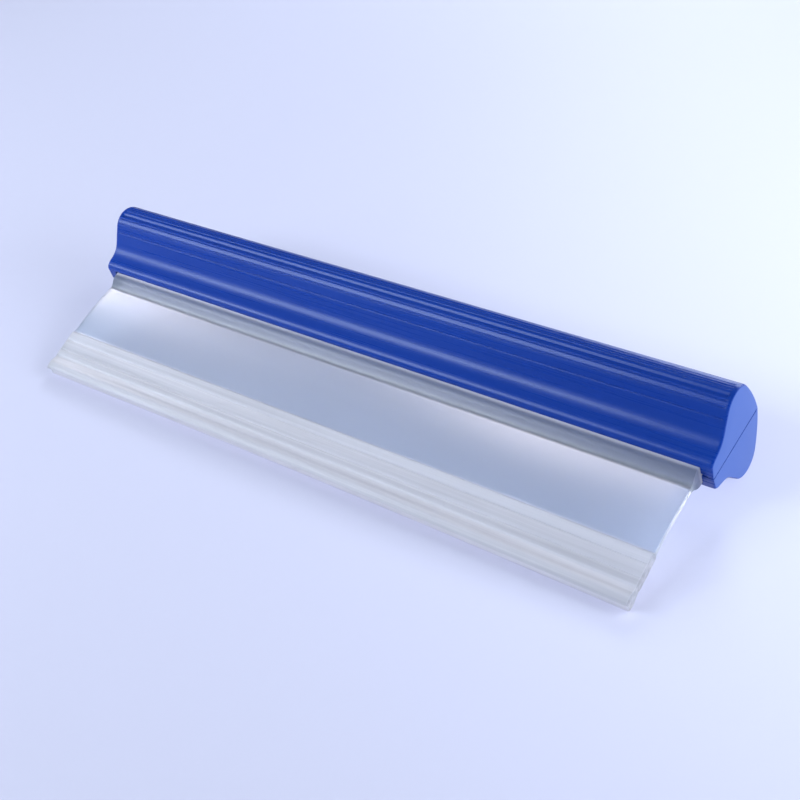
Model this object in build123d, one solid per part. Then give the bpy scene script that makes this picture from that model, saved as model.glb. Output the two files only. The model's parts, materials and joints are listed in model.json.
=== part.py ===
"""Hand squeegee: a two-shell plastic handle that clamps one silicone blade.

Every section is drawn in the handle's own plane: u runs from the back edge towards
the blade's tip and v is the height above the joint between the two shells. The
squeegee is then tilted as it lies on a table, on the handle's belly and the tip.
X runs along the handle, the tip points along -Y and +Z is up.
"""
import os
from math import asin, atan2, cos, degrees, hypot, radians, sin, sqrt

from build123d import *

# Handle: overall size and walls
LENGTH = 300.0
MOUTH_U = 34.0
WALL = 2.4
END_WALL = 4.5
END_PLATE = 1.5
CAVITY_FRONT_V = 10.5
SEAM_BEVEL = 0.25

# Handle: points of the upper half's outline, in u and v
BACK_EDGE = (0.0, 0.0)
CROWN_START = (5.1, 16.8)
CROWN_TOP = (12.2, 21.4)
CROWN_END = (19.3, 18.0)
FRONT = (22.5, 13.6)
VALLEY = (25.9, 9.45)
JAW = (29.6, 8.0)
LIP = (32.9, 6.7)
MOUTH_EDGE = (MOUTH_U, 5.2)

# Grooves along the crown, as distances along its arc from CROWN_START
FINE_GROOVES = (5.8, 7.3, 8.9, 13.1, 15.5)
FINE_GROOVE_R = 0.35
FINE_GROOVE_LIFT = 0.13
WIDE_GROOVE = 11.1
WIDE_GROOVE_R = 1.3
WIDE_GROOVE_LIFT = 0.75
FLANK_GROOVE = 2.6

# Handle: ribs across the inside, and the pegs that join the shells; a peg stands in its
# boss as deep as PEG_HOLD and reaches PEG_DEPTH into the other shell
RIB_COUNT = 7
RIB_T = 2.0
PEG_R = 1.5
PEG_CLEARANCE = 0.05
PEG_DEPTH = 6.0
PEG_HOLD = 2.4
BOSS_R = 3.4
BOSS_U = 9.6

# Handle: lap step of the joint beside the mouth, at each end of the slot. The lower
# shell's step stops short of the mouth, which leaves an open notch in the upper shell
LAP_HEIGHT = 1.2
LAP_WIDTH = 2.4
LAP_DEPTH = 9.0
LAP_SETBACK = 2.0
LAP_CLEARANCE = 0.05

# Blade: root held in the handle, and shoulder outside the mouth
SLOT_CLEARANCE = 0.05
BLADE_LENGTH = 289.0
BLADE_SHIFT = 0.8
ROOT_U = 17.2
ROOT_T_END_U = 21.4
ROOT_T_HALF = 7.4
ROOT_CORNER_R = 1.2
NECK_HALF = 4.4
SHOULDER_U = 35.6
SHOULDER_MID = (38.2, 3.0)
WEB_START_U = 41.0

# Blade: web, which droops along an arc, and lip
WEB_HALF = 1.2
WEB_RADIUS = 145.0
WEB_SWEEP = 10.3
FLEX_ANGLE = 4.35
FLEX_GAP = 0.35
LIP_LENGTH = 20.5
LIP_HALF = 2.3
LIP_STEP = 0.7
LIP_STEPS = (4.6, 9.8)
LIP_STEP_DEPTH = 0.25
LIP_STEP_WIDTH = 0.5
WAIST_S = 13.6
WAIST_HALF = 1.9
BAR_S = 17.6
BAR_HALF = 3.0
EDGE_HALF = 2.3
EDGE_NOTCH = 1.0
BAR_R = ((LIP_LENGTH - BAR_S) ** 2 + (BAR_HALF - EDGE_HALF) ** 2) / (2 * (BAR_HALF - EDGE_HALF))

SECTION = Plane(origin=(0, 0, 0), x_dir=(0, -1, 0), z_dir=(-1, 0, 0))


def prism(face, length, middle_x=0.0):
    """Extrude a face of the section plane, centred on middle_x."""
    solid = extrude(SECTION * face, amount=length / 2, both=True)
    return Pos(middle_x, 0, 0) * solid


def mirrored(shape):
    """The same shape on the other side of the joint plane."""
    return mirror(shape, about=Plane.XY)


# ---- handle ---------------------------------------------------------------

def crown_arc():
    return ThreePointArc(CROWN_START, CROWN_TOP, CROWN_END)


def flank_curve(crown):
    """From the crown down the front, through the valley and along the jaw to the lip."""
    points = (CROWN_END, FRONT, VALLEY, JAW, LIP)
    return Spline(*points, tangents=(crown % 1, (1.0, -0.75)))


def half_face():
    """Upper half of the handle's section, closed along the joint plane."""
    crown = crown_arc()
    flank = flank_curve(crown)
    back = TangentArc(CROWN_START, BACK_EDGE, tangent=(crown % 0) * -1)
    lip = TangentArc(LIP, MOUTH_EDGE, tangent=flank % 1)
    mouth = Line(lip @ 1, (MOUTH_U, 0))
    joint = Line((MOUTH_U, 0), BACK_EDGE)
    return make_face([back, crown, flank, lip, mouth, joint])


def groove_face(curve, distance, radius, lift):
    """A round cutter whose centre stands lift above a point of the outline."""
    fraction = distance / curve.length
    point = curve @ fraction
    along = curve % fraction
    outward = Vector(-along.Y, along.X)
    centre = point + outward * lift
    return Pos(centre.X, centre.Y) * Circle(radius)


def grooves():
    """All length-wise grooves of one half, ending short of the end plates."""
    crown = crown_arc()
    flank = flank_curve(crown)
    cutters = [groove_face(crown, d, FINE_GROOVE_R, FINE_GROOVE_LIFT) for d in FINE_GROOVES]
    cutters.append(groove_face(crown, WIDE_GROOVE, WIDE_GROOVE_R, WIDE_GROOVE_LIFT))
    cutters.append(groove_face(flank, FLANK_GROOVE, FINE_GROOVE_R, FINE_GROOVE_LIFT))
    run = LENGTH - 2 * END_PLATE
    return [prism(face, run) for face in cutters]


def cavity_face():
    """The hollow of one half: the outline less the wall, as far as the root's front face."""
    crown = crown_arc()
    centre = crown.arc_center
    shrink = (crown.radius - WALL) / crown.radius
    start = centre + (crown @ 0 - centre) * shrink
    top = centre + (crown @ 0.5 - centre) * shrink
    end = centre + (crown @ 1 - centre) * shrink
    roof = ThreePointArc(start, top, end)
    back = TangentArc(start, (WALL, 0), tangent=(crown % 0) * -1)
    front_u = ROOT_T_END_U + SLOT_CLEARANCE
    front = Polyline(end, (front_u, CAVITY_FRONT_V), (front_u, 0), (WALL, 0))
    return make_face([back, roof, front])


def bay_length():
    """Clear length of a bay between neighbouring ribs."""
    inside = LENGTH - 2 * END_WALL
    return (inside - RIB_COUNT * RIB_T) / (RIB_COUNT + 1)


def bay_centres():
    pitch = bay_length() + RIB_T
    return [pitch * (i - RIB_COUNT / 2) for i in range(RIB_COUNT + 1)]


def post_places():
    """A boss and a peg stand in every second bay."""
    return bay_centres()[::2]


def root_slot():
    """Room for the blade's root and neck, from end wall to end wall."""
    length = LENGTH - 2 * END_WALL
    t_half = ROOT_T_HALF + SLOT_CLEARANCE
    t_start = ROOT_U - SLOT_CLEARANCE
    t_end = ROOT_T_END_U + SLOT_CLEARANCE
    t_slot = Pos((t_start + t_end) / 2, 0) * Rectangle(t_end - t_start, 2 * t_half)
    neck_end = MOUTH_U + WALL
    neck_span = neck_end - t_start
    neck = Pos((t_start + neck_end) / 2, 0) * Rectangle(neck_span, 2 * (NECK_HALF + SLOT_CLEARANCE))
    return prism(t_slot + neck, length)


def post(radius, x, bottom, top):
    """An upright round post behind the blade's root, between two heights."""
    height = top - bottom
    return Pos(x, -BOSS_U, bottom + height / 2) * Cylinder(radius, height)


def plain_shell():
    """Upper half without its joining features: wall, ribs, end walls and jaws."""
    shell = prism(half_face(), LENGTH)
    hollow = cavity_face()
    for x in bay_centres():
        shell -= prism(hollow, bay_length(), x)
    return shell - root_slot()


def bossed_shell():
    """Upper half with its bosses, and the grooves cut last."""
    shell = plain_shell()
    outline = prism(half_face(), LENGTH)
    for x in post_places():
        shell += post(BOSS_R, x, 0, CROWN_TOP[1]) & outline
    for groove in grooves():
        shell -= groove
    return shell


def seam_bevel():
    """Wedges that bevel the joint's visible edges: along the back and across both ends."""
    side = SEAM_BEVEL * sqrt(2)
    back = Rot(X=45) * Box(LENGTH, side, side)
    end = Rot(Y=45) * Box(side, MOUTH_U + 2 * WALL, side)
    ends = [Pos(x, -MOUTH_U / 2, 0) * end for x in (-LENGTH / 2, LENGTH / 2)]
    return [back] + ends


def lap_blocks(clearance, setback):
    """Steps of the joint at each end of the slot, starting setback behind the mouth."""
    width = LAP_WIDTH + clearance
    depth = LAP_DEPTH + clearance - setback
    height = LAP_HEIGHT + clearance
    block = Box(width, depth, height, align=(Align.CENTER, Align.MIN, Align.MIN))
    x = LENGTH / 2 - END_WALL + width / 2
    return [Pos(side * x, setback - MOUTH_U, 0) * block for side in (-1, 1)]


def handle_upper():
    shell = bossed_shell()
    for x in post_places():
        shell += post(PEG_R, x, -PEG_DEPTH, PEG_HOLD)
    for block in lap_blocks(LAP_CLEARANCE, 0.0):
        shell -= block
    for wedge in seam_bevel():
        shell -= wedge
    return shell


def handle_lower():
    shell = mirrored(bossed_shell())
    for x in post_places():
        shell -= post(PEG_R + PEG_CLEARANCE, x, -PEG_DEPTH - PEG_CLEARANCE, PEG_HOLD)
    for wedge in seam_bevel():
        shell -= wedge
    for block in lap_blocks(0.0, LAP_SETBACK):
        shell += block
    return shell


# ---- blade ----------------------------------------------------------------

def on_web(angle, height):
    """Point of the drooping web at an angle along its arc and a height from its middle."""
    turn = radians(angle)
    radius = WEB_RADIUS + height
    return (WEB_START_U + radius * sin(turn), radius * cos(turn) - WEB_RADIUS)


def web_edge(start, end, height):
    middle = (start + end) / 2
    return ThreePointArc(on_web(start, height), on_web(middle, height), on_web(end, height))


def blade_root():
    """T-shaped root, neck, shoulder and the fixed part of the web."""
    tee = Pos((ROOT_U + ROOT_T_END_U) / 2, 0) * Rectangle(ROOT_T_END_U - ROOT_U, 2 * ROOT_T_HALF)
    tee = fillet(tee.vertices(), ROOT_CORNER_R)
    neck_span = SHOULDER_U - ROOT_T_END_U + ROOT_CORNER_R
    neck = Pos(SHOULDER_U - neck_span / 2, 0) * Rectangle(neck_span, 2 * NECK_HALF)
    shoulder_points = ((SHOULDER_U, NECK_HALF), SHOULDER_MID, (WEB_START_U, WEB_HALF))
    top = Spline(*shoulder_points, tangents=((1, -0.2), (1, 0)))
    low_points = [(u, -v) for u, v in shoulder_points]
    low = Spline(*low_points, tangents=((1, 0.2), (1, 0)))
    back = Line((SHOULDER_U, -NECK_HALF), (SHOULDER_U, NECK_HALF))
    front = Line((WEB_START_U, WEB_HALF), (WEB_START_U, -WEB_HALF))
    shoulder = make_face([top, low, back, front])
    stub_end = FLEX_ANGLE - degrees((WEB_HALF + FLEX_GAP) / WEB_RADIUS)
    stub = web_face(0, stub_end)
    return prism(tee + neck + shoulder + stub, BLADE_LENGTH, BLADE_SHIFT)


def web_face(start, end):
    """A stretch of the web with square ends."""
    top = web_edge(start, end, WEB_HALF)
    low = web_edge(start, end, -WEB_HALF)
    return make_face([top, low, Line(top @ 0, low @ 0), Line(top @ 1, low @ 1)])


def blade_web():
    """Moving part of the web, with a round end about the line that it bends on."""
    round_end = Pos(*on_web(FLEX_ANGLE, 0)) * Circle(WEB_HALF)
    return prism(web_face(FLEX_ANGLE, WEB_SWEEP) + round_end, BLADE_LENGTH, BLADE_SHIFT)


def lip_half():
    """Half of the lip's section: s runs from the web to the tip, t is the height."""
    outline = [(0, 0), (0, WEB_HALF), (LIP_STEP, LIP_HALF)]
    for s in LIP_STEPS:
        outline += [
            (s, LIP_HALF),
            (s + LIP_STEP_WIDTH / 2, LIP_HALF - LIP_STEP_DEPTH),
            (s + LIP_STEP_WIDTH, LIP_HALF),
        ]
    outline += [(WAIST_S - LIP_STEP, LIP_HALF), (WAIST_S, WAIST_HALF)]
    flat = Polyline(*outline)
    bar_top = (BAR_S, BAR_HALF)
    flare = Spline(outline[-1], bar_top, tangents=((1, 0), (1, 0)))
    tip = (LIP_LENGTH, EDGE_HALF)
    nose = TangentArc(bar_top, tip, tangent=(1, 0))
    notch = Polyline(tip, (LIP_LENGTH - EDGE_NOTCH, 0), (0, 0))
    return make_face([flat, flare, nose, notch])


def blade_lip():
    """Thick lip with two fine steps, a waist and a T-shaped double edge."""
    half = lip_half()
    whole = half + mirror(half, about=Plane.XZ)
    start = on_web(WEB_SWEEP, 0)
    return prism(Pos(*start) * Rot(Z=-WEB_SWEEP) * whole, BLADE_LENGTH, BLADE_SHIFT)


# ---- how it lies on a table -----------------------------------------------

def rest_tilt():
    """Angle at which the belly of the handle and the bar of the lip touch one plane."""
    crown = crown_arc()
    belly_u = crown.arc_center.X
    belly_v = -crown.arc_center.Y
    web_end_u, web_end_v = on_web(WEB_SWEEP, 0)
    turn = radians(WEB_SWEEP)
    rise = BAR_R - BAR_HALF
    bar_u = web_end_u + BAR_S * cos(turn) + rise * sin(turn)
    bar_v = web_end_v - BAR_S * sin(turn) + rise * cos(turn)
    run = hypot(bar_u - belly_u, bar_v - belly_v)
    slope = atan2(bar_v - belly_v, bar_u - belly_u)
    return degrees(slope + asin((crown.radius - BAR_R) / run))


def main():
    nodes = {
        "handle_upper": handle_upper(),
        "handle_lower": handle_lower(),
        "blade_root": blade_root(),
        "blade_web": blade_web(),
        "blade_lip": blade_lip(),
    }
    tilt = Rot(X=rest_tilt())
    tilted = {name: tilt * solid for name, solid in nodes.items()}
    box = Compound(list(tilted.values())).bounding_box()
    to_origin = Pos(0, -(box.min.Y + box.max.Y) / 2, -box.min.Z)
    flex_u, flex_v = on_web(FLEX_ANGLE, 0)
    flex = (to_origin * tilt * Pos(0, -flex_u, flex_v)).position
    print("tilt", round(rest_tilt(), 3), "flex axis", flex, "size", box.size)
    os.makedirs("parts", exist_ok=True)
    for name, solid in tilted.items():
        placed = to_origin * solid
        placed.label = name
        export_step(placed, f"parts/{name}.step")


main()
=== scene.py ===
"""Looks for the hand squeegee: two ribbed plastic shells and one silicone blade.

Sections are drawn in the handle's own plane, in millimetres: u runs from the back
edge towards the blade's tip and v is the height above the joint between the shells.
placed() tilts them as the squeegee lies on its belly and its tip, in metres.
"""
import json
import math
import bmesh
import bpy
import numpy as np
from mathutils import Matrix, Vector


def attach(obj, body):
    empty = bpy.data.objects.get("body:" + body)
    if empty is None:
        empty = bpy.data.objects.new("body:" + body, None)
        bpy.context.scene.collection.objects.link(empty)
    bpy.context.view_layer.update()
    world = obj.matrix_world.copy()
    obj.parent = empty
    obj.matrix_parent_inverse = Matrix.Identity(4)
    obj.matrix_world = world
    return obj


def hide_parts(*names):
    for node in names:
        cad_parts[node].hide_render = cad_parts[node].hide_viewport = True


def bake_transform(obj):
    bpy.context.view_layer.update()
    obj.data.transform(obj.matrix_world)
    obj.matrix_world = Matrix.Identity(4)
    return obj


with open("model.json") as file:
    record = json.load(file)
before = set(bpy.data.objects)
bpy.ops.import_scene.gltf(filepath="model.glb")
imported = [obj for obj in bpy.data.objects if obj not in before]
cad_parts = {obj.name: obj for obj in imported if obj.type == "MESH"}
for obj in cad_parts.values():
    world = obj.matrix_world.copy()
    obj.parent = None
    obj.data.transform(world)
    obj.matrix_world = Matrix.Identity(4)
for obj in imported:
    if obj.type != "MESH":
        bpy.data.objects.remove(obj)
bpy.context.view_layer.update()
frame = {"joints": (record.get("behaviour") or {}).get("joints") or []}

MM = 0.001
TILT = math.radians(10.121)

# Handle: size, and points of the upper half's outline
LENGTH = 300.0
MOUTH_U = 34.0
BACK_EDGE = (0.0, 0.0)
CROWN_CENTRE = (12.567, 13.05)
CROWN_START = (5.1, 16.8)
CROWN_END = (19.3, 18.0)
FLANK = (CROWN_END, (22.5, 13.6), (25.95, 9.6), (29.3, 8.05), (32.9, 6.7))
FLANK_END_DIRECTION = (1.0, -0.75)
MOUTH_EDGE = (MOUTH_U, 5.2)
END_ROUND = 0.9
SEAM_GAP = 0.22
SEAM_DEPTH = 0.9
OUTLINE_PITCH = 0.55
SKIN = 0.02
QUARTERS = (0.0, 0.25, 0.5, 0.75, 1.0)

# Handle: grooves, as distances along the outline from CROWN_START
FINE_GROOVES = (5.8, 7.3, 8.9, 13.1, 15.5, 19.7)
FINE_GROOVE_HALF = 0.42
FINE_GROOVE_DEPTH = 0.22
WIDE_GROOVE = 11.1
WIDE_GROOVE_HALF = 1.2
WIDE_GROOVE_DEPTH = 0.55
GROOVE_END = 147.7
GROOVE_FADE = 0.9
GROOVE_STOPS = 13
GROOVE_REACH = 1.15
GROOVE_CLEAR = 1.2

# Handle: inside
WALL = 2.4
END_WALL = 4.5
RIB_COUNT = 7
RIB_T = 2.0
CAVITY_FRONT_V = 10.5
SLOT_HALF = 4.45
TEE_SLOT = (17.15, 21.45, 7.45)
LAP_HEIGHT = 1.2
LAP_GAP = 0.05
LAP_WIDTH = 2.4
LAP_DEPTH = 9.0
LAP_SETBACK = 2.0
ROOF_PITCH = 0.9
LEG_POINTS = 14
HAIR = 0.01  # keeps two points of a loop apart where they would meet

# Blade: lengths along its middle line from the handle's back edge
BLADE_LEFT = -143.7
BLADE_RIGHT = 145.3
ROOT_U = 17.2
TEE_END_U = 21.4
TEE_HALF = 7.4
TEE_CORNER_R = 1.2
NECK_HALF = 4.4
SHOULDER_U = 35.6
WEB_START_U = 41.0
WEB_HALF = 1.2
WEB_RADIUS = 145.0
WEB_SWEEP = math.radians(10.3)
FLEX_ANGLE = math.radians(4.35)
LIP_LENGTH = 20.5
LIP_HALF = 2.3
LIP_STEPS = (4.6, 9.8)
LIP_STEP_DEPTH = 0.25
LIP_STEP_WIDTH = 0.5
WAIST_S = 13.6
WAIST_HALF = 1.9
BAR_S = 17.6
BAR_HALF = 3.0
EDGE_HALF = 2.3
EDGE_NOTCH = 1.0
BLADE_ROUND = 0.3
BLADE_END_RUN = 6.0
BLADE_STATIONS = 41
BOW = 1.6
WEB_END = WEB_START_U + WEB_RADIUS * WEB_SWEEP
BLADE_DEPTH = WEB_END + LIP_LENGTH
NECK_SHARE = SHOULDER_U / BLADE_DEPTH
WEB_START_SHARE = WEB_START_U / BLADE_DEPTH
WEB_END_SHARE = WEB_END / BLADE_DEPTH

# Light: colours, and the share of it that silicone lets through into its own shadow
LIGHT_COLOUR = (0.81, 0.89, 0.99)
WARM_COLOUR = (1.0, 0.92, 0.95)
WORLD_STRENGTH = 0.21
SHADOW_LET_THROUGH = 0.5

# Camera: place in metres, angles in degrees, lens in millimetres
CAMERA_PLACE = (0.302688, -0.277521, 0.331337)
CAMERA_AZIMUTH = 45.178
CAMERA_ELEVATION = 38.929
CAMERA_ROLL = 12.883
CAMERA_LENS = 59.4

# Silicone: its tone at distances along the blade, milky in the thick lip. The stops on the neck in
# front of the handle are painted shade: a dark band that lightens towards the web
WEB_TONE = (0.635, 0.71, 0.80)
LIP_TONE = (0.685, 0.69, 0.735)
EDGE_TONE = (0.56, 0.57, 0.63)
BLADE_TONES_AND_NECK_SHADE = (
    # painted shade: the neck stops from here up to 40.0 darken the blade in front of the handle's
    # mouth
    (34.6, (0.42, 0.47, 0.60)),
    (35.3, (0.16, 0.20, 0.32)),
    (37.6, (0.16, 0.20, 0.32)),
    (38.5, (0.24, 0.29, 0.40)),
    (39.2, (0.32, 0.38, 0.50)),
    (40.0, (0.56, 0.63, 0.72)),
    (50.0, WEB_TONE),
    (WEB_END - 0.2, WEB_TONE),
    (WEB_END + 0.5, LIP_TONE),
    (86.2, LIP_TONE),
    (86.9, EDGE_TONE),
)


# ---- curves of the section plane -------------------------------------------

def spline(points, first_direction, last_direction, pitch):
    """Smooth curve through points, with given directions at its ends."""
    p = np.array(points, float)
    h = np.linalg.norm(np.diff(p, axis=0), axis=1)
    matrix = np.eye(len(p))
    slopes = np.zeros((len(p), 2))
    slopes[0] = np.array(first_direction) / np.linalg.norm(first_direction)
    slopes[-1] = np.array(last_direction) / np.linalg.norm(last_direction)
    for i in range(1, len(p) - 1):
        matrix[i, i - 1:i + 2] = (h[i], 2 * (h[i - 1] + h[i]), h[i - 1])
        before = (p[i] - p[i - 1]) * h[i] / h[i - 1]
        after = (p[i + 1] - p[i]) * h[i - 1] / h[i]
        slopes[i] = 3 * (before + after)
    slopes = np.linalg.solve(matrix, slopes)
    curve = []
    for i, span in enumerate(h):
        count = max(2, round(span / pitch))
        for t in np.arange(count) / count:
            curve.append(
                (2 * t ** 3 - 3 * t ** 2 + 1) * p[i]
                + (t ** 3 - 2 * t ** 2 + t) * span * slopes[i]
                + (3 * t ** 2 - 2 * t ** 3) * p[i + 1]
                + (t ** 3 - t ** 2) * span * slopes[i + 1]
            )
    return np.array(curve + [p[-1]])


def arc(centre, start, end, pitch):
    """Round stretch about centre, the short way from start to end."""
    c, a, b = (np.array(q, float) for q in (centre, start, end))
    radius = np.linalg.norm(a - c)
    first = math.atan2(*(a - c)[::-1])
    turn = (math.atan2(*(b - c)[::-1]) - first + math.pi) % (2 * math.pi) - math.pi
    count = max(2, round(abs(turn) * radius / pitch))
    angles = first + turn * np.linspace(0, 1, count + 1)
    return c + radius * np.stack([np.cos(angles), np.sin(angles)], axis=1)


def tangent_arc(start, direction, end, pitch):
    """Round stretch from start to end that leaves start along direction."""
    a, b = np.array(start, float), np.array(end, float)
    along = np.array(direction, float) / np.linalg.norm(direction)
    normal = np.array((-along[1], along[0]))
    chord = b - a
    centre = a + normal * (chord @ chord) / (2 * chord @ normal)
    return arc(centre, a, b, pitch)


def straight(start, end, count):
    share = np.linspace(0, 1, count)[:, None]
    return np.array(start) * (1 - share) + np.array(end) * share


def distances(points):
    """Length along a line of points, at each of them."""
    steps = np.linalg.norm(np.diff(points, axis=0), axis=1)
    return np.concatenate([[0], np.cumsum(steps)])


def resampled(points, stops):
    s = distances(points)
    return np.stack([np.interp(stops, s, points[:, k]) for k in (0, 1)], axis=1)


def outward(points):
    """Unit normals on the left of a line of points."""
    along = np.gradient(points, axis=0)
    along /= np.linalg.norm(along, axis=1)[:, None]
    return np.stack([-along[:, 1], along[:, 0]], axis=1)


# ---- from sections to meshes ------------------------------------------------

def placed(uv, x):
    """Section points at x, tilted and lifted to where the squeegee lies."""
    flex_u, flex_v = on_middle(WEB_START_U + WEB_RADIUS * FLEX_ANGLE, 0.0)
    flex = Vector(frame["joints"][0]["pos_m"]) / MM
    u = uv[:, 0] - flex_u
    v = uv[:, 1] - flex_v
    y = flex.y - u * math.cos(TILT) - v * math.sin(TILT)
    z = flex.z - u * math.sin(TILT) + v * math.cos(TILT)
    return np.stack([np.full(len(uv), x), y, z], axis=1) * MM


def lofted(name, stations, sharp_degrees, marks=None):
    """Closed mesh through stations: (x, closed loop of section points), left to right.

    marks is a value for each point of the loop, kept as the attribute along_blade."""
    mesh = bmesh.new()
    layer = mesh.verts.layers.float.new("along_blade") if marks is not None else None
    rings = [[mesh.verts.new(p) for p in placed(loop, x)] for x, loop in stations]
    if layer:
        for ring in rings:
            for vertex, mark in zip(ring, marks):
                vertex[layer] = mark
    for left, right in zip(rings, rings[1:]):
        for i in range(len(left)):
            j = (i + 1) % len(left)
            mesh.faces.new((left[i], left[j], right[j], right[i]))
    mesh.faces.new(rings[0])
    mesh.faces.new(rings[-1])
    bmesh.ops.remove_doubles(mesh, verts=mesh.verts, dist=0.002 * MM)
    bmesh.ops.recalc_face_normals(mesh, faces=mesh.faces)
    data = bpy.data.meshes.new(name)
    mesh.to_mesh(data)
    mesh.free()
    data.shade_smooth()
    data.set_sharp_from_angle(angle=math.radians(sharp_degrees))
    piece = bpy.data.objects.new(name, data)
    bpy.context.collection.objects.link(piece)
    return piece


def end_rounding(radius, count):
    """(distance in from an end face, how far the outline is drawn in there)."""
    steps = []
    for k in range(count + 1):
        angle = math.pi / 2 * k / count
        steps.append((radius * (1 - math.cos(angle)), radius * (1 - math.sin(angle))))
    return steps


# ---- handle shells ------------------------------------------------------------

def smooth_outline():
    """Upper half's outline without grooves, from the back edge to the mouth's edge."""
    crown_in = np.array(CROWN_START) - CROWN_CENTRE
    crown_out = np.array(CROWN_END) - CROWN_CENTRE
    backwards = (-crown_in[1], crown_in[0])
    onwards = (crown_out[1], -crown_out[0])
    back = tangent_arc(CROWN_START, backwards, BACK_EDGE, OUTLINE_PITCH)[::-1]
    crown = arc(CROWN_CENTRE, CROWN_START, CROWN_END, OUTLINE_PITCH / 4)
    flank = spline(FLANK, onwards, FLANK_END_DIRECTION, OUTLINE_PITCH / 4)
    lip = tangent_arc(FLANK[-1], FLANK_END_DIRECTION, MOUTH_EDGE, 0.2)
    return back, np.concatenate([crown, flank[1:], lip[1:]])


def groove_list():
    fine = [(s, FINE_GROOVE_HALF, FINE_GROOVE_DEPTH) for s in FINE_GROOVES]
    return fine + [(WIDE_GROOVE, WIDE_GROOVE_HALF, WIDE_GROOVE_DEPTH)]


def groove_depth(s):
    """Depth of the grooves at a distance along the outline, with rounded edges."""
    depth = np.zeros_like(s)
    for middle, half, deepest in groove_list():
        near = np.clip(np.abs(s - middle) / half, 0, 1)
        depth += deepest * np.cos(near * math.pi / 2) ** 1.4
    return depth


def outline_stops(length):
    """Distances along the outline, close together across each groove."""
    stops = list(np.linspace(0, length, round(length / OUTLINE_PITCH) + 1))
    for middle, half, _ in groove_list():
        stops = [s for s in stops if abs(s - middle) > half * GROOVE_CLEAR]
        stops += list(middle + half * np.linspace(-GROOVE_REACH, GROOVE_REACH, GROOVE_STOPS))
    return np.array(sorted(stops))


def outer_loop(groove_share, inset):
    """Outside of the upper half, drawn in by inset near the end faces."""
    back, rest = smooth_outline()
    stops = outline_stops(distances(rest)[-1])
    rest = resampled(rest, stops)
    rest = rest - outward(rest) * (groove_depth(stops) * groove_share)[:, None]
    line = np.concatenate([back[:-1], rest])
    shrunk = line - outward(line) * (inset + SKIN)
    shrunk[0] = (inset + SKIN, SEAM_GAP)
    return np.concatenate([[(SEAM_DEPTH, 0.0)], shrunk])


def bay_legs():
    """Roof of a bay from its front to its back, and the way down behind it."""
    centre = np.array(CROWN_CENTRE)
    start = np.array(CROWN_START) - centre
    end = np.array(CROWN_END) - centre
    radius = np.linalg.norm(start)
    shrink = (radius - WALL) / radius
    roof_start = centre + start * shrink
    roof_end = centre + end * shrink
    roof = arc(centre, roof_end, roof_start, ROOF_PITCH)
    behind = tangent_arc(roof_start, (-start[1], start[0]), (WALL, 0.0), ROOF_PITCH)
    return [roof, behind]


def joint_corners(kind, joint_v, lap):
    """Mouth's corner and the joint in front of the root, stepped where kind is lap."""
    lap_v, lap_front = lap
    lap_u = MOUTH_U - LAP_DEPTH
    mouth_v = max(joint_v, SEAM_GAP)
    if kind == "lap":
        return [(MOUTH_U, max(lap_v, mouth_v)), (lap_front + HAIR, max(lap_v, 0.0)),
                (lap_front, lap_v), (lap_u, lap_v), (lap_u - HAIR, joint_v)]
    return [(MOUTH_U, mouth_v), (MOUTH_U - SEAM_DEPTH, joint_v),
            (lap_front, joint_v), (lap_u, joint_v), (lap_u - HAIR, joint_v)]


def inner_loop(kind, joint_v, lap):
    """Inside of the upper half, from the mouth back along the joint to the seam's gap.

    kind is end, lap, rib or bay; every kind has the same number of points."""
    tee_start, tee_end, tee_half = TEE_SLOT
    neck = list(straight((MOUTH_U, SLOT_HALF), (tee_end, SLOT_HALF), 4))
    if kind == "bay":
        corners = neck + [(tee_end, CAVITY_FRONT_V)]
        legs = bay_legs()
    elif kind == "rib":
        corners = neck + [(tee_end, tee_half - HAIR)]
        legs = [np.array([(tee_end, tee_half), (tee_start, tee_half)]),
                np.array([(tee_start, tee_half), (tee_start, 0.0)])]
    else:
        corners = joint_corners(kind, joint_v, lap)
        legs = [np.array([(tee_end, joint_v), (tee_start, joint_v)]),
                np.array([(tee_start, joint_v), (SEAM_DEPTH + 1.0, joint_v)])]
    above, behind = [
        resampled(leg, np.linspace(0, distances(leg)[-1], LEG_POINTS)) for leg in legs
    ]
    return np.concatenate([np.array(corners), above[:-1], behind])


def shell_stations(lap):
    """(x, loop) along the upper half: end face, end wall, lap, then bays and ribs."""
    half = LENGTH / 2
    slot_end = half - END_WALL
    lap_end = slot_end + LAP_WIDTH
    left = []
    for depth, inset in end_rounding(END_ROUND, 7):
        gap = SEAM_GAP * (1 - depth / END_ROUND)
        left.append((-half + depth, "end", 0.0, inset, gap))
    for share in QUARTERS:
        x = -GROOVE_END - GROOVE_FADE * (1 - share)
        left.append((x, "end", 0.5 - 0.5 * math.cos(math.pi * share), 0.0, 0.0))
    left += [(-lap_end, "end", 1.0, 0.0, 0.0), (-lap_end, "lap", 1.0, 0.0, 0.0)]
    left += [(-slot_end, "lap", 1.0, 0.0, 0.0)]
    left.sort(key=lambda station: station[0])
    right = [(-x, kind, g, i, j) for x, kind, g, i, j in reversed(left)]
    bay = (2 * slot_end - RIB_COUNT * RIB_T) / (RIB_COUNT + 1)
    middle = []
    x = -slot_end
    for k in range(RIB_COUNT + 1):
        for share in QUARTERS:
            middle.append((x + bay * share, "bay", 1.0, 0.0, 0.0))
        x += bay
        if k < RIB_COUNT:
            middle += [(x, "rib", 1.0, 0.0, 0.0), (x + RIB_T, "rib", 1.0, 0.0, 0.0)]
            x += RIB_T
    stations = []
    for x, kind, grooves, inset, joint_v in left + middle + right:
        loop = np.concatenate([outer_loop(grooves, inset), inner_loop(kind, joint_v, lap)])
        stations.append((x, loop))
    return stations


def shell(name, node, lap, side):
    """One shell: lap is its step's height and front, and side is 1 above and -1 below."""
    stations = [(x, loop * (1, side)) for x, loop in shell_stations(lap)]
    piece = lofted(name, stations, 40)
    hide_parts(node)
    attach(piece, "handle")
    return piece


# ---- silicone blade -----------------------------------------------------------

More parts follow.
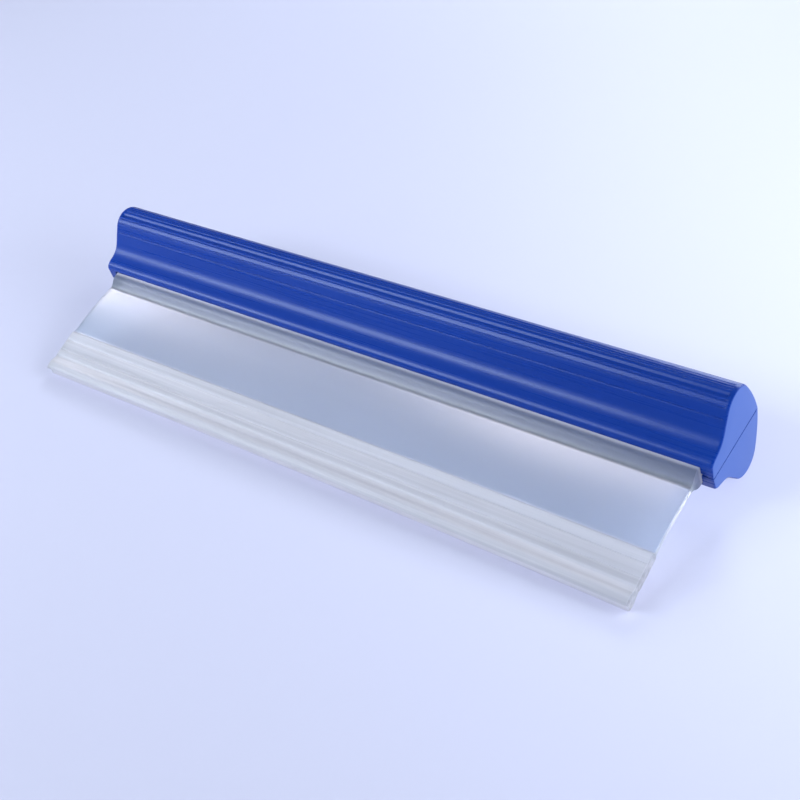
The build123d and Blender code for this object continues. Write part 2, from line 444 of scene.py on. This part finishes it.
def on_middle(s, height):
    """Section point at a distance along the blade's drooping middle line and a height."""
    if s <= WEB_START_U:
        return (s, height)
    turn = min((s - WEB_START_U) / WEB_RADIUS, WEB_SWEEP)
    beyond = s - WEB_START_U - turn * WEB_RADIUS
    u = WEB_START_U + (WEB_RADIUS + height) * math.sin(turn) + beyond * math.cos(turn)
    v = (WEB_RADIUS + height) * math.cos(turn) - WEB_RADIUS - beyond * math.sin(turn)
    return (u, v)


def blade_profile():
    """Half thickness against distance along the middle line, root to tip."""
    tee_back = arc((ROOT_U + TEE_CORNER_R, TEE_HALF - TEE_CORNER_R),
                   (ROOT_U, TEE_HALF - TEE_CORNER_R), (ROOT_U + TEE_CORNER_R, TEE_HALF), 0.4)
    tee_front = arc((TEE_END_U - TEE_CORNER_R, TEE_HALF - TEE_CORNER_R),
                    (TEE_END_U - TEE_CORNER_R, TEE_HALF), (TEE_END_U, TEE_HALF - TEE_CORNER_R), 0.4)
    neck = straight((TEE_END_U, NECK_HALF), (SHOULDER_U - 0.3, NECK_HALF), 6)
    shoulder = spline(((SHOULDER_U, NECK_HALF - 0.06), (38.2, 3.0), (WEB_START_U, WEB_HALF)),
                      (1, -0.2), (1, 0), 0.3)
    web = straight((WEB_START_U, WEB_HALF), (WEB_END - 0.2, WEB_HALF), 34)[1:]
    lip = [(0.1, 1.3), (0.5, 2.0), (0.75, 2.22), (1.1, LIP_HALF)]
    for s in LIP_STEPS:
        lip += [(s - 1.5, LIP_HALF), (s - 0.1, LIP_HALF), (s + 0.1, LIP_HALF - 0.05),
                (s + LIP_STEP_WIDTH / 2, LIP_HALF - LIP_STEP_DEPTH),
                (s + LIP_STEP_WIDTH - 0.1, LIP_HALF - 0.05), (s + LIP_STEP_WIDTH + 0.1, LIP_HALF)]
    lip += [(WAIST_S - 1.0, LIP_HALF), (WAIST_S - 0.7, LIP_HALF - 0.04),
            (WAIST_S - 0.3, WAIST_HALF + 0.08)]
    flare = spline(((WAIST_S, WAIST_HALF), (BAR_S, BAR_HALF)), (1, 0), (1, 0), 0.35)
    nose = tangent_arc((BAR_S, BAR_HALF), (1, 0), (LIP_LENGTH - 0.15, EDGE_HALF + 0.05), 0.35)[1:]
    edge = [(LIP_LENGTH, EDGE_HALF - 0.15), (LIP_LENGTH - EDGE_NOTCH * 0.55, 1.0),
            (LIP_LENGTH - EDGE_NOTCH, 0.25)]
    lip_points = np.concatenate([lip, flare, nose, edge]) + (WEB_END, 0)
    return np.concatenate([tee_back, tee_front, neck, shoulder, web, lip_points])


def blade_stations():
    """(x, loop) along the blade, which bows up a little between its ends."""
    profile = blade_profile()
    half = (BLADE_RIGHT - BLADE_LEFT) / 2
    middle = (BLADE_RIGHT + BLADE_LEFT) / 2
    ends = end_rounding(BLADE_ROUND, 4)
    places = [(-half + depth, inset) for depth, inset in ends]
    reach = half - BLADE_END_RUN
    places += [(x, 0.0) for x in np.linspace(-reach, reach, BLADE_STATIONS)]
    places += [(half - depth, inset) for depth, inset in reversed(ends)]
    root_s, tip_s = profile[0, 0], profile[:, 0].max()
    stations = []
    for x, inset in places:
        drawn = profile.copy()
        drawn[:, 1] = np.maximum(drawn[:, 1] - inset, drawn[:, 1] * 0.2)
        drawn[:, 0] = np.clip(drawn[:, 0], root_s + inset, tip_s - inset)
        upper = [on_middle(s, h) for s, h in drawn]
        lower = [on_middle(s, -h) for s, h in drawn[::-1]]
        loop = np.array(upper + lower)
        share = np.clip((loop[:, 0] - WEB_START_U) / (loop[:, 0].max() - WEB_START_U), 0, 1)
        lift = BOW * (1 - (x / half) ** 2) * share ** 2
        loop[:, 1] += lift
        loop[:, 0] -= lift * math.tan(TILT)
        stations.append((x + middle, loop))
    return stations


def blade():
    """Root, web and lip as one piece, which bends smoothly across the web."""
    profile_s = blade_profile()[:, 0]
    marks = np.concatenate([profile_s, profile_s[::-1]]) / profile_s.max()
    piece = lofted("silicone_blade", blade_stations(), 42, marks)
    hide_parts("blade_root", "blade_web", "blade_lip")
    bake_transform(piece)
    return piece


# ---- materials -------------------------------------------------------------------

class Look:
    """A material with its Principled shader, and short ways to wire its nodes."""

    def __init__(self, name):
        self.material = bpy.data.materials.new(name)
        self.material.use_nodes = True
        self.nodes = self.material.node_tree.nodes
        self.links = self.material.node_tree.links
        self.shader = self.nodes["Principled BSDF"]
        self.place = self.nodes.new("ShaderNodeTexCoord")

    def set(self, **values):
        for name, value in values.items():
            self.shader.inputs[name.replace("_", " ")].default_value = value

    def drive(self, name, source):
        self.links.new(source, self.shader.inputs[name])

    def noise(self, size, stretch=(1.0, 1.0, 1.0), detail=2.0, turn=0.0):
        """Noise with features of a size in metres, longer along the axes of small stretch."""
        mapping = self.nodes.new("ShaderNodeMapping")
        mapping.inputs["Scale"].default_value = stretch
        mapping.inputs["Rotation"].default_value = (0.0, 0.0, turn)
        noise = self.nodes.new("ShaderNodeTexNoise")
        noise.inputs["Scale"].default_value = 1.0 / size
        noise.inputs["Detail"].default_value = detail
        self.links.new(self.place.outputs["Object"], mapping.inputs["Vector"])
        self.links.new(mapping.outputs["Vector"], noise.inputs["Vector"])
        return noise.outputs["Fac"]

    def ranged(self, source, low, high, out_low, out_high):
        made = self.nodes.new("ShaderNodeMapRange")
        made.inputs["From Min"].default_value = low
        made.inputs["From Max"].default_value = high
        made.inputs["To Min"].default_value = out_low
        made.inputs["To Max"].default_value = out_high
        self.links.new(source, made.inputs["Value"])
        return made.outputs["Result"]

    def ramp(self, source, stops):
        """Colour along source: stops are (position, colour)."""
        made = self.nodes.new("ShaderNodeValToRGB")
        elements = made.color_ramp.elements
        while len(elements) < len(stops):
            elements.new(0.5)
        for element, (position, colour) in zip(elements, stops):
            element.position = position
            element.color = (*colour, 1.0)
        self.links.new(source, made.inputs["Fac"])
        return made.outputs["Color"]

    def math(self, operation, first, second):
        made = self.nodes.new("ShaderNodeMath")
        made.operation = operation
        for socket, value in zip(made.inputs, (first, second)):
            if isinstance(value, float):
                socket.default_value = value
            else:
                self.links.new(value, socket)
        return made.outputs["Value"]

    def dimmed(self, colour, factor):
        """Colour from a socket times a number from another."""
        made = self.nodes.new("ShaderNodeVectorMath")
        made.operation = "SCALE"
        self.links.new(colour, made.inputs["Vector"])
        self.links.new(factor, made.inputs["Scale"])
        return made.outputs["Vector"]

    def blended(self, colour, other, share):
        """Colour from a socket, going over to another plain colour by share."""
        made = self.nodes.new("ShaderNodeMixRGB")
        self.links.new(share, made.inputs["Fac"])
        self.links.new(colour, made.inputs["Color1"])
        made.inputs["Color2"].default_value = (*other, 1.0)
        return made.outputs["Color"]

    def facing_x(self, low, high):
        """0 to 1 as the surface turns to face along X, which is where the end faces are."""
        split = self.nodes.new("ShaderNodeSeparateXYZ")
        self.links.new(self.place.outputs["Normal"], split.inputs["Vector"])
        size = self.math("ABSOLUTE", split.outputs["X"], 0.0)
        return self.ranged(size, low, high, 0.0, 1.0)

    def bump(self, heights):
        """Bumps one on another: heights are (source, strength, depth in metres)."""
        normal = None
        for source, strength, depth in heights:
            made = self.nodes.new("ShaderNodeBump")
            made.inputs["Strength"].default_value = strength
            made.inputs["Distance"].default_value = depth
            self.links.new(source, made.inputs["Height"])
            if normal is not None:
                self.links.new(normal, made.inputs["Normal"])
            normal = made.outputs["Normal"]
        self.drive("Normal", normal)


def handle_plastic():
    """Semi-gloss blue moulded plastic: length-wise drag lines, fine texture, scratches, and painted
    light: the end faces are coloured a lighter blue, as if lit by the lamp from the right.
    """
    look = Look("handle_plastic")
    blotch = look.noise(0.09, (0.5, 1.0, 1.0), 3.0)
    drag = look.noise(0.0011, (0.012, 1.0, 1.0), 4.0)
    texture = look.noise(0.00038, (0.6, 1.0, 1.0), 2.0)
    scratch = look.noise(0.0024, (0.03, 1.0, 1.0), 1.0, 0.05)
    marks = look.ranged(scratch, 0.70, 0.74, 0.0, 1.0)
    end_face = look.facing_x(0.80, 0.97)
    moulded_side = look.ranged(end_face, 0.0, 0.5, 1.0, 0.0)
    streaks = look.math("MULTIPLY", drag, moulded_side)
    moulded = look.ramp(blotch, [
        (0.30, (0.0020, 0.035, 0.280)),
        (0.70, (0.0035, 0.045, 0.325)),
    ])
    # painted light: the end faces are blended to a lighter blue, standing in for the lamp from the
    # right
    look.drive("Base Color", look.blended(moulded, (0.050, 0.120, 0.420), end_face))
    look.drive("Roughness", look.ranged(streaks, 0.3, 0.7, 0.34, 0.24))
    look.set(Specular_IOR_Level=0.52, Specular_Tint=(0.66, 0.76, 1.0, 1.0))
    heights = ((texture, 0.35, 0.00006), (drag, 0.18, 0.00010), (marks, 0.25, 0.00006))
    look.bump([
        (look.math("MULTIPLY", source, moulded_side), strength, depth)
        for source, strength, depth in heights
    ])
    return look.material


def silicone():
    """Translucent silicone: clear web, milkier and streaked lip, pale shadow, and painted shade on
    the neck and at the cut ends.
    """
    look = Look("silicone")
    where = look.nodes.new("ShaderNodeAttribute")
    where.attribute_name = "along_blade"
    along = where.outputs["Fac"]
    neck_milk = look.ranged(along, NECK_SHARE, WEB_START_SHARE, 1.0, 0.0)
    lip_milk = look.ranged(along, WEB_END_SHARE - 0.002, WEB_END_SHARE + 0.012, 0.0, 1.0)
    end_face = look.facing_x(0.80, 0.97)
    milk = look.math("MAXIMUM", look.math("MAXIMUM", neck_milk, lip_milk), end_face)
    cloud = look.noise(0.05, (0.4, 1.0, 1.0), 3.0)
    grain = look.noise(0.0007, (0.5, 1.0, 1.0), 2.0)
    drag = look.noise(0.0022, (0.012, 1.0, 1.0), 3.0)
    # the ramp carries the painted shade of the neck stops as well as the silicone's own tones
    tone_and_neck_shade = look.ramp(along, [(s / BLADE_DEPTH, colour) for s, colour in BLADE_TONES_AND_NECK_SHADE])
    # painted shade: the base colour is darkened at the cut ends, against the lamp from the right
    # that lights them
    cut_end_shade = look.ranged(end_face, 0.0, 1.0, 1.0, 0.65)
    cloud_and_end_shade = look.math("MULTIPLY", look.ranged(cloud, 0.3, 0.7, 0.95, 1.0), cut_end_shade)
    streaks = look.math("MULTIPLY", look.ranged(drag, 0.35, 0.65, -0.13, 0.10), lip_milk)
    look.drive("Base Color", look.dimmed(tone_and_neck_shade, look.math("ADD", cloud_and_end_shade, streaks)))
    look.drive("Transmission Weight", look.ranged(milk, 0.0, 1.0, 0.86, 0.45))
    cast = look.ranged(milk, 0.0, 1.0, 0.29, 0.42)
    look.drive("Roughness", look.math("ADD", cast, look.ranged(cloud, 0.3, 0.7, -0.02, 0.02)))
    look.set(IOR=1.41)
    look.bump([(grain, 0.05, 0.00003)])
    clear = look.nodes.new("ShaderNodeBsdfTransparent")
    clear.inputs["Color"].default_value = (0.90, 0.92, 0.95, 1.0)
    ray = look.nodes.new("ShaderNodeLightPath")
    share = look.math("MULTIPLY", ray.outputs["Is Shadow Ray"], SHADOW_LET_THROUGH)
    mix = look.nodes.new("ShaderNodeMixShader")
    look.links.new(share, mix.inputs["Fac"])
    look.links.new(look.shader.outputs["BSDF"], mix.inputs[1])
    look.links.new(clear.outputs["BSDF"], mix.inputs[2])
    look.links.new(mix.outputs["Shader"], look.nodes["Material Output"].inputs["Surface"])
    return look.material


def pale_card():
    """Smooth pale lavender card."""
    look = Look("pale_card")
    cloud = look.noise(0.6)
    look.drive("Base Color", look.ramp(cloud, [
        (0.2, (0.520, 0.516, 0.640)),
        (0.8, (0.535, 0.531, 0.652)),
    ]))
    look.set(Roughness=0.6, Specular_IOR_Level=0.25)
    return look.material


# ---- table, lights and camera ----------------------------------------------------

def table():
    half = 3.0
    data = bpy.data.meshes.new("table")
    corners = [(-half, -half, 0), (half, -half, 0), (half, half, 0), (-half, half, 0)]
    data.from_pydata(corners, [], [(0, 1, 2, 3)])
    data.materials.append(pale_card())
    piece = bpy.data.objects.new("table", data)
    bpy.context.collection.objects.link(piece)
    return piece


def area_light(name, place, aim, size, power, seen_by=("diffuse", "glossy")):
    """A soft rectangle of light at place that faces aim, with its first side level.

    seen_by names the reflections that it shows in, diffuse or glossy or both."""
    data = bpy.data.lights.new(name, "AREA")
    data.shape = "RECTANGLE"
    data.size, data.size_y = size
    data.energy = power
    data.color = LIGHT_COLOUR
    lamp = bpy.data.objects.new(name, data)
    lamp.location = place
    lamp.rotation_euler = (Vector(aim) - Vector(place)).to_track_quat("-Z", "Y").to_euler()
    lamp.visible_diffuse = "diffuse" in seen_by
    lamp.visible_glossy = "glossy" in seen_by
    bpy.context.collection.objects.link(lamp)
    return lamp


def grouped(name, pieces):
    group = bpy.data.collections.new(name)
    for piece in pieces:
        group.objects.link(piece)
    return group


def limited(lamp, falls_on, shaded_by):
    """The lamp lights only some pieces, and only some pieces stand in its way."""
    lamp.light_linking.receiver_collection = grouped(lamp.name + "_on", falls_on)
    lamp.light_linking.blocker_collection = grouped(lamp.name + "_by", shaded_by)


def lights(handle_pieces, blade_piece, table_piece):
    """Main light from the right, soft fill, and strips for the handle's long reflections.

    Most lamps are linked to some pieces only. Two keep the table pale and even, and two
    warm ones show as soft patches on the blade's web."""
    middle = (0.0, 0.0, 0.0)
    behind = ((0.10, 1.30, 0.35), middle, (1.2, 0.4))
    area_light("right", (1.20, 0.05, 0.40), middle, (0.8, 0.5), 13.5, ("diffuse",))
    back = area_light("back", *behind, 8.5, ("diffuse",))
    area_light("front", (-0.80, -0.608, 0.663), (-0.80, 0.0, 0.0), (1.05, 0.334), 7.0)
    area_light("front_left", (-0.70, -0.50, 0.30), (-0.1, 0.0, 0.0), (0.6, 0.4), 2.4, ("diffuse",))
    back_left = area_light("back_left", (-0.75, 0.85, 0.75), middle, (1.0, 0.6), 4.0, ("diffuse",))
    limited(back, [*handle_pieces, blade_piece], [*handle_pieces, blade_piece, table_piece])
    limited(back_left, handle_pieces, handle_pieces)
    crest = area_light("crest", *behind, 11.0, ("glossy",))
    limited(crest, handle_pieces, handle_pieces)
    for name, place, size, power in (
        ("table_left", (-0.30, 0.90, 0.50), (0.3, 0.3), 6.6),
        ("table_right", (0.40, 0.20, 0.30), (0.3, 0.2), 2.1),
    ):
        lamp = area_light(name, place, (0.05, 0.25, 0.0), size, power)
        limited(lamp, [table_piece], [table_piece, blade_piece])
    for name, x in (("overhead_near", -0.38), ("overhead_far", -1.40)):
        lamp = area_light(name, (x, 0.50, 1.0), middle, (0.48, 0.30), 10.0, ("glossy",))
        lamp.data.color = WARM_COLOUR
        lamp.visible_transmission = False
        limited(lamp, [blade_piece], [blade_piece])
    world = bpy.data.worlds.new("studio")
    world.use_nodes = True
    background = world.node_tree.nodes["Background"]
    background.inputs["Color"].default_value = (*LIGHT_COLOUR, 1.0)
    background.inputs["Strength"].default_value = WORLD_STRENGTH
    bpy.context.scene.world = world


def camera():
    """The view from the front right, above the tip, with the horizon a little turned."""
    angles = (CAMERA_AZIMUTH, CAMERA_ELEVATION, CAMERA_ROLL)
    azimuth, elevation, roll = (math.radians(a) for a in angles)
    forward = Vector((
        -math.sin(azimuth) * math.cos(elevation),
        math.cos(azimuth) * math.cos(elevation),
        -math.sin(elevation),
    ))
    level = Vector((math.cos(azimuth), math.sin(azimuth), 0.0))
    right = math.cos(roll) * level + math.sin(roll) * forward.cross(level)
    down = forward.cross(right)
    data = bpy.data.cameras.new("camera")
    data.lens = CAMERA_LENS
    data.sensor_width = 36.0
    data.clip_start = 0.01
    data.clip_end = 50.0
    piece = bpy.data.objects.new("camera", data)
    turn = Matrix((right, -down, -forward)).transposed()
    piece.matrix_world = Matrix.Translation(CAMERA_PLACE) @ turn.to_4x4()
    bpy.context.collection.objects.link(piece)
    bpy.context.scene.camera = piece


# ---- the whole scene ---------------------------------------------------------------

shells = [
    shell("upper_shell", "handle_upper", (LAP_HEIGHT + LAP_GAP, MOUTH_U - 0.1), 1),
    shell("lower_shell", "handle_lower", (-LAP_HEIGHT, MOUTH_U - LAP_SETBACK), -1),
]
plastic = handle_plastic()
for part in shells:
    part.data.materials.append(plastic)
blade_piece = blade()
blade_piece.data.materials.append(silicone())
lights(shells, blade_piece, table())
camera()
bpy.context.scene.view_settings.view_transform = "Standard"
